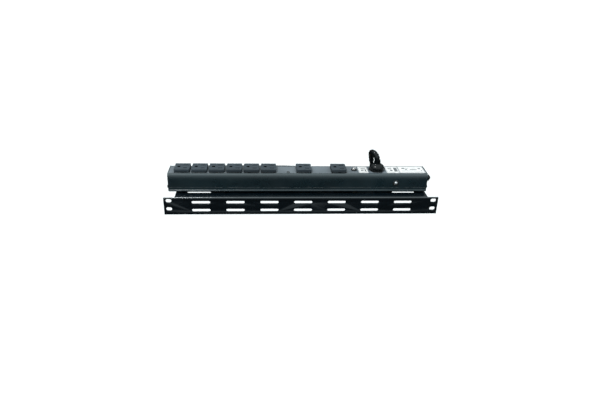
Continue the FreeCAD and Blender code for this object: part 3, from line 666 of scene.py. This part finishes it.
def cup(outline, low, high):
    """Walls and floor just inside a hole's outline, near black: painted shade for the depth of the
    hole.
    """
    count = len(outline)
    middle = (sum(x for x, y in outline) / count, sum(y for x, y in outline) / count)
    points = [(middle[0] + (x - middle[0]) * 0.985, middle[1] + (y - middle[1]) * 0.97, z)
              for z in (low, high) for x, y in outline]
    return mesh_from("cup", points, skin(2, count) + [tuple(range(count))])


def add_outlet(node):
    """Raised face: round corners, a rolled rim, two blade slots and a D-shaped ground hole. The
    near-black skirt at its foot is a painted shadow line, and the near-black cups in its holes are
    painted shade.
    """
    low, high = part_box(node)
    middle = centre_of(node)
    flange, hole_radius, slot_width = 1 * MM, 2.7 * MM, 2.2 * MM
    width, depth = high.x - low.x - 2 * flange, high.y - low.y
    hole_x, blade_x = middle.x - 6.2 * MM, middle.x + 5.7 * MM
    outline = rounded_corners(middle.x, middle.y, width, depth, 1.7 * MM)
    ground = [(hole_x + hole_radius * math.cos(angle), middle.y + hole_radius * math.sin(angle))
              for angle in (math.radians(90 + 180 * step / 14) for step in range(15))]
    ground += [(hole_x + hole_radius, middle.y - hole_radius),
               (hole_x + hole_radius, middle.y + hole_radius)]
    slots = [rounded_corners(blade_x, middle.y + side * BLADE_REACH, length, slot_width,
                             0.4 * MM, 2)
             for side, length in ((-1, 7.2 * MM), (1, 8.6 * MM))]
    seat = strip_top - 1.2 * MM
    block = plate([outline, ground] + slots, seat, high.z, 0.22 * MM, 3)
    rim = rounded_corners(middle.x, middle.y, width + 0.3 * MM, depth + 0.2 * MM, 1.8 * MM)
    inside = rounded_corners(middle.x, middle.y, width - 1.6 * MM, depth - 1.6 * MM, 1 * MM)
    # The skirt is near black: a painted shadow line where the outlet face meets the cover.
    skirt = plate([rim, inside], seat, strip_top + 1.7 * MM, 0.3 * MM)
    put(node + "_moulding", block, outlet_plastic, STRIP, (node,))
    put(node + "_skirt", skirt, painted_shade_black, STRIP, ())
    # Near-black cups in the blade slots and the ground hole: painted shade.
    cups = [cup(hole, strip_top + 1.6 * MM, high.z - 0.3 * MM) for hole in [ground] + slots]
    put(node + "_wells", joined(cups), painted_shade_black, STRIP, ())


for outlet in OUTLETS:
    add_outlet(outlet)


# ---- lamp, labels and fasteners ------------------------------------------------------------

def add_lamp():
    """Pilot lamp: a turned ring, a ribbed clear dome and the frosted bulb inside."""
    spot = centre_of("lamp_bezel")
    base = (spot.x, spot.y, strip_top)
    outer = [(5.2, 0), (5.2, 0.5), (5.05, 1.0), (4.7, 1.45), (4.3, 1.6), (3.6, 1.5), (3.1, 1.1)]
    ring = tube_lathe(in_metres(outer), in_metres([(3.1, -9), (3.1, 1.1)]), base)
    put("lamp_ring", ring, nylon, STRIP, ("lamp_bezel",))
    dome = [(3.0 * math.cos(step * math.pi / 24), 2 + 3.0 * math.sin(step * math.pi / 24))
            for step in range(12)] + [(0.01, 5.0)]
    lens = lathe(in_metres([(3.0, -7)] + dome), base, steps=40,
                 wave=lambda angle, height: 1 - 0.02 * (math.cos(angle * 12) > 0) * (height > 0))
    put("lamp_lens_moulding", lens, lens_glass, STRIP, ("lamp_lens",))
    glow = [(1.9, -9), (1.9, -2.2), (1.6, -0.6), (1.1, 0.5), (0.5, 1.0), (0.01, 1.1)]
    put("lamp_bulb_glass", lathe(in_metres(glow), base, steps=24), bulb_white, STRIP,
        ("lamp_bulb",))


def add_labels():
    """Blank stickers with round corners; grey frames and bars stand for their print."""
    prints = {
        "label_1": ((0.5, 0.8, 0.7, 0.05), (0.55, 0.64, 0.5, 0.09), (0.42, 0.4, 0.3, 0.14),
                    (0.74, 0.42, 0.14, 0.2), (0.76, 0.28, 0.16, 0.1), (0.5, 0.15, 0.7, 0.03)),
        "label_2": ((0.33, 0.8, 0.4, 0.04), (0.34, 0.64, 0.3, 0.12), (0.78, 0.52, 0.26, 0.62),
                    (0.42, 0.4, 0.2, 0.16), (0.3, 0.3, 0.4, 0.03), (0.4, 0.14, 0.6, 0.04)),
        "label_3": ((0.2, 0.72, 0.12, 0.16), (0.3, 0.56, 0.08, 0.12), (0.34, 0.72, 0.12, 0.03),
                    (0.26, 0.36, 0.34, 0.03), (0.58, 0.5, 0.28, 0.1), (0.6, 0.66, 0.2, 0.03),
                    (0.84, 0.68, 0.1, 0.16), (0.9, 0.4, 0.06, 0.1), (0.5, 0.14, 0.86, 0.04)),
    }
    for node, bars in prints.items():
        low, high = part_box(node)
        middle, size = (low + high) / 2, high - low
        outline = rounded_corners(middle.x, middle.y, size.x, size.y, 1.4 * MM)
        put(node + "_sticker", plate([outline], low.z, high.z, 0.08 * MM, 1), label_paper, STRIP,
            (node,))
        marks = [plate([rounded_corners(low.x + x * size.x, low.y + y * size.y, w * size.x,
                                        d * size.y, 0.15 * MM, 2)],
                       high.z - 0.03 * MM, high.z + 0.03 * MM, 0.01 * MM, 1) for x, y, w, d in bars]
        edge = [rounded_corners(middle.x, middle.y, size.x - k * MM, size.y - k * MM, 1 * MM)
                for k in (1.8, 2.5)]
        marks.append(plate(edge, high.z - 0.03 * MM, high.z + 0.03 * MM, 0.01 * MM, 1))
        put(node + "_print", joined(marks), print_grey, STRIP, ())


def add_gland():
    """Hexagon flange, fluted dome nut and a ringed, tapering nozzle where the lead leaves."""
    spot = centre_of("gland_dome_nut")
    base = (spot.x, spot.y, strip_top)
    softened("gland_body", nylon, 0.5 * MM)
    softened("gland_seal", vinyl, 0.2 * MM)

    def flutes(angle, height):
        depth = 0.07 if 3.6 * MM < height < 9.5 * MM else 0.0
        return 1 - depth * (0.5 + 0.5 * math.cos(angle * 12)) ** 2

    outer = [(12.6, 3.5), (13.2, 3.9), (13.2, 6.6), (12.9, 7.3), (12.1, 8.4), (10.8, 9.6),
             (9.4, 10.7), (7.8, 11.6), (6.6, 12.2), (6.15, 12.8)]
    for ring in range(5):
        foot = 13.2 + 1.35 * ring
        thick = 6.0 - 0.2 * ring
        outer += [(thick, foot), (thick - 0.05, foot + 0.7), (thick - 0.45, foot + 0.8),
                  (thick - 0.5, foot + 1.2)]
    outer += [(4.95, 19.95), (4.8, 20.0)]
    inner = [(7.7, 3.5), (7.6, 8.6), (3.65, 9.4), (3.65, 20.0)]
    nut = tube_lathe(in_metres(outer), in_metres(inner), base, steps=96, wave=flutes)
    put("gland_nut_moulding", nut, nylon, STRIP, ("gland_dome_nut",),
        math.radians(40))


def add_screws():
    """Ground screw on a toothed washer, cover screw, and the rounded CAD screws and feet."""
    spot = centre_of("ground_washer")
    teeth, tip, valley, bore = 14, 5.4, 4.5, 2.4
    ring = [((tip if step % 2 else valley) * MM * math.cos(step * math.pi / teeth),
             (tip if step % 2 else valley) * MM * math.sin(step * math.pi / teeth))
            for step in range(2 * teeth)]
    hole = [(bore * MM * math.cos(step * math.pi / 12), bore * MM * math.sin(step * math.pi / 12))
            for step in range(24)]
    washer = moved(plate([ring, hole], 0, 0.9 * MM, 0.12 * MM),
                   frame_along((spot.x, strip_low.y, spot.z), (0, -1, 0)))
    put("star_washer", washer, dark_steel, STRIP, ("ground_washer",))
    dome = [(1.2, -4.5), (1.2, -0.6), (3.4, -0.6), (3.6, -0.3)]
    dome += [(3.6 * math.cos(step * math.pi / 24), 0.3 + 2.9 * math.sin(step * math.pi / 24))
             for step in range(12)] + [(0.01, 3.2)]
    head = lathe(in_metres(dome),
                 (spot.x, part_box("ground_screw")[0].y + 3.2 * MM, spot.z), (0, -1, 0), 40)
    put("ground_screw_head", head, bright_steel, STRIP, ("ground_screw",))
    spot = centre_of("cover_screw")
    seat = (spot.x, spot.y, strip_top)
    head = [(1.3, -7), (1.3, -0.1), (2.7, 0), (2.7, 0.45), (2.5, 1.0), (1.9, 1.45), (1.2, 1.6),
            (1.05, 1.0), (0.01, 0.9)]
    put("cover_screw_head", lathe(in_metres(head), seat, steps=36), dark_steel, STRIP,
        ("cover_screw",))
    softened("end_cap_screws", dark_steel, 0.3 * MM, 3)
    softened("mounting_feet", nylon, 0.4 * MM)
    softened("foot_screws", zinc, 0.2 * MM)


def add_breaker():
    """Knurled nut, threaded bushing and a domed button that rides on its own body."""
    middle = centre_of("reset_button")
    low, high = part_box("reset_button")
    softened("breaker_nut", dark_steel, 0.45 * MM, 3)
    stub_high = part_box("breaker_nut")[1]
    thread = []
    for turn in range(7):
        start = turn * 0.8 * MM
        thread += [(5.45 * MM, start), (5.75 * MM, start + 0.3 * MM),
                   (5.75 * MM, start + 0.42 * MM), (5.45 * MM, start + 0.72 * MM)]
    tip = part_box("breaker_body")[1].x - stub_high.x
    thread = [(r, h) for r, h in thread if h < tip - 0.1 * MM]
    bushing = tube_lathe(thread, [(5.0 * MM, 0), (5.0 * MM, thread[-1][1])],
                         (stub_high.x, middle.y, middle.z), (1, 0, 0))
    put("breaker_thread", bushing, nylon, STRIP, ())
    reach = high.x - low.x
    profile = in_metres([(4.2, 0), (4.2, 2), (3.2, 2.1)])
    profile += [(3.2 * MM, reach - 1.4 * MM), (3.05 * MM, reach - 0.6 * MM),
                (2.6 * MM, reach - 0.12 * MM), (2.1 * MM, reach), (1.2 * MM, reach - 0.15 * MM),
                (0.01 * MM, reach - 0.25 * MM)]
    put("reset_button_cap", lathe(profile, (low.x, middle.y, middle.z), (1, 0, 0), 40),
        button_plastic, BUTTON, ("reset_button",))


add_lamp()
add_labels()
add_gland()
add_screws()
add_breaker()


# ---- finishes of the CAD nodes that stay ---------------------------------------------------

def finish_nodes():
    """Give every CAD node that stays the material of its slot."""
    finishes = {"contact_brass": brass, "module_plastic": module_plastic, "zinc_steel": zinc,
                "black_nylon": nylon, "wire_black": wire_black, "wire_white": wire_white,
                "wire_green": wire_green, "housing_black": housing_paint,
                "bracket_black": bracket_paint, "cover_grey": cover_paint,
                "outlet_plastic": outlet_plastic, "cord_rubber": vinyl, "lamp_clear": lens_glass,
                "label_white": label_paper}
    slots = {part["node"]: part["material_slot"] for part in frame["record"]["subparts"]}
    for name, piece in frame["nodes"].items():
        for holder in piece.material_slots:
            holder.material = finishes[slots[name]]


finish_nodes()


# ---- floor and light -----------------------------------------------------------------------

def stage_object(name, mesh, material):
    """An object that belongs to the stage and not to the part."""
    mesh.materials.append(material)
    piece = bpy.data.objects.new(name, mesh)
    bpy.context.scene.collection.objects.link(piece)
    return piece


def add_stage():
    """A wide pale floor well below the part, and a white dome that only the camera sees."""
    floor_z, reach = cad_low.z - 0.95, 24
    mesh = bpy.data.meshes.new("floor")
    corners = [(x * reach, y * reach, floor_z) for x, y in ((-1, -1), (1, -1), (1, 1), (-1, 1))]
    mesh.from_pydata(corners, [], [(0, 1, 2, 3)])
    material, tree, shader = new_material("pale_floor")
    tree.links.new(mix_colour(tree, noise_at(tree, 0.8), (0.64, 0.64, 0.64), (0.67, 0.67, 0.67)),
                   shader.inputs["Base Color"])
    shader.inputs["Roughness"].default_value = 0.9
    floor = stage_object("floor", mesh, material)
    floor.visible_glossy = floor.visible_diffuse = False
    dome_mesh = bpy.data.meshes.new("dome")
    work = bmesh.new()
    bmesh.ops.create_uvsphere(work, u_segments=48, v_segments=24, radius=reach * 0.95)
    work.to_mesh(dome_mesh)
    work.free()
    glow, tree, shader = new_material("white_dome")
    shader.inputs["Base Color"].default_value = (0, 0, 0, 1)
    shader.inputs["Emission Color"].default_value = (1, 1, 1, 1)
    shader.inputs["Emission Strength"].default_value = 1.0
    dome = stage_object("dome", dome_mesh, glow)
    dome.visible_diffuse = dome.visible_glossy = False
    dome.visible_transmission = dome.visible_shadow = False


def add_lights():
    """A small high sun from the left, in surroundings that brighten upward and to the front."""
    world = bpy.data.worlds.new("world")
    world.use_nodes = True
    tree = world.node_tree
    place = tree.nodes.new("ShaderNodeTexCoord")
    lean = tree.nodes.new("ShaderNodeVectorMath")
    lean.operation = "DOT_PRODUCT"
    lean.inputs[1].default_value = (0, -0.3, 1)
    tree.links.new(place.outputs["Generated"], lean.inputs[0])
    level = spread(tree, lean.outputs["Value"], 0.04, 1.85, -0.02, 0.98)
    background = tree.nodes["Background"]
    tree.links.new(level, background.inputs["Strength"])
    background.inputs["Color"].default_value = (0.9, 0.985, 1, 1)
    bpy.context.scene.world = world
    bpy.context.scene.view_settings.view_transform = "Standard"
    data = bpy.data.lights.new("overhead_sun", "SUN")
    data.energy = 1.7
    data.angle = math.radians(5)
    sun = bpy.data.objects.new("overhead_sun", data)
    bpy.context.scene.collection.objects.link(sun)
    sun.rotation_euler = (math.radians(10), math.radians(-28), 0)


add_stage()
add_lights()
